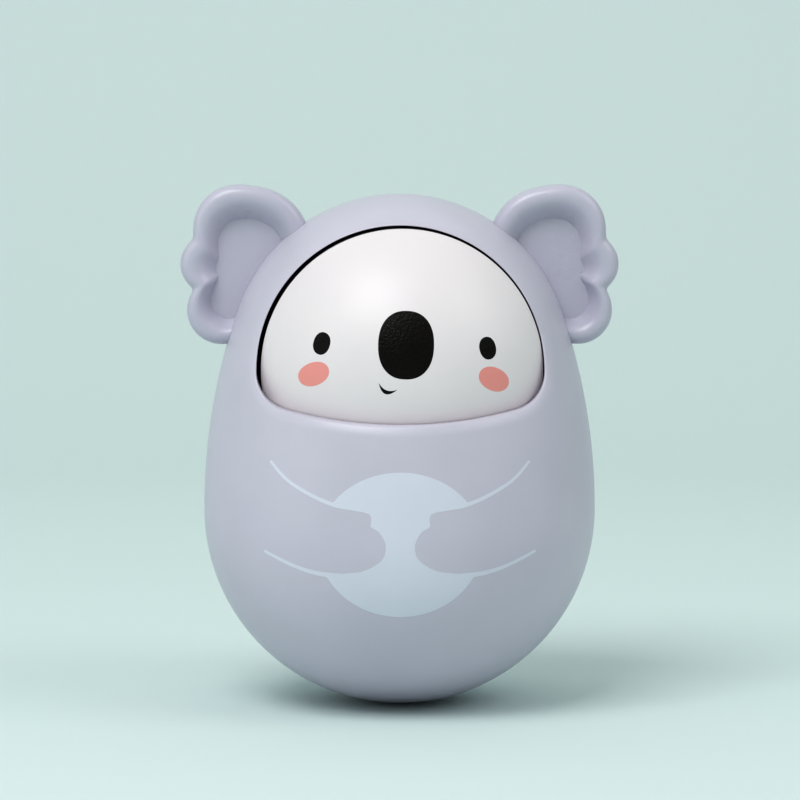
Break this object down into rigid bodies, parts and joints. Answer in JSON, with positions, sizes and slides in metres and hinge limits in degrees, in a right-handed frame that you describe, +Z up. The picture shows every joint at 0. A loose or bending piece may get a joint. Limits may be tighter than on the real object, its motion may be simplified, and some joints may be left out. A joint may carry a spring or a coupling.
{
  "type": "roly poly toy",
  "caption": "Egg-shaped roly poly koala toy with a weighted round base, scalloped ears, a chime inside and a white face that rolls on an axle behind an arched window.",
  "frame": {"origin": "point of the round base that touches the floor when the toy stands upright", "axes": "+Z up along the egg's axis, -Y is the way the face looks, +X to the right seen from the front"},
  "size_m": [0.1002, 0.09, 0.1194],
  "materials": {
    "shell_plastic": "satin",
    "ear_plastic": "satin",
    "face_plastic": "satin",
    "inner_plastic": "matte",
    "bush_plastic": "satin",
    "clapper_plastic": "gloss",
    "screw_steel": "satin",
    "bright_steel": "satin",
    "weight_steel": "satin",
    "ballast_iron": "matte"
  },
  "bodies": {
    "body": {"front_shell": "shell_plastic", "rear_shell": "shell_plastic", "left_ear": "ear_plastic", "right_ear": "ear_plastic", "shell_screws": "screw_steel", "face_axle": "bright_steel", "axle_washer": "bright_steel", "axle_screw": "screw_steel", "ballast": "ballast_iron", "chime_base": "inner_plastic", "chime_screws": "screw_steel", "chime_rods": "bright_steel", "chime_bridge": "bright_steel"},
    "face": {"face_shell": "face_plastic", "face_plate": "inner_plastic", "hub_bushes": "bush_plastic", "face_weight": "weight_steel", "face_weight_screws": "screw_steel", "face_screws": "screw_steel"},
    "clapper_link": {"clapper_ring": "bright_steel"},
    "clapper": {"clapper_stem": "bright_steel", "clapper_ball": "clapper_plastic"}
  },
  "joints": [
    {"name": "face_roll", "type": "hinge", "parent": "body", "child": "face", "pos_m": [0, 0, 0.0785], "axis": [0, 1, 0], "range_deg": [-35, 35]},
    {"name": "ring_swing", "type": "hinge", "parent": "body", "child": "clapper_link", "pos_m": [0, 0, 0.042], "axis": [1, 0, 0], "range_deg": [-20, 20]},
    {"name": "clapper_swing", "type": "hinge", "parent": "clapper_link", "child": "clapper", "pos_m": [0, 0, 0.03818], "axis": [0, 1, 0], "range_deg": [-20, 20]}
  ]
}
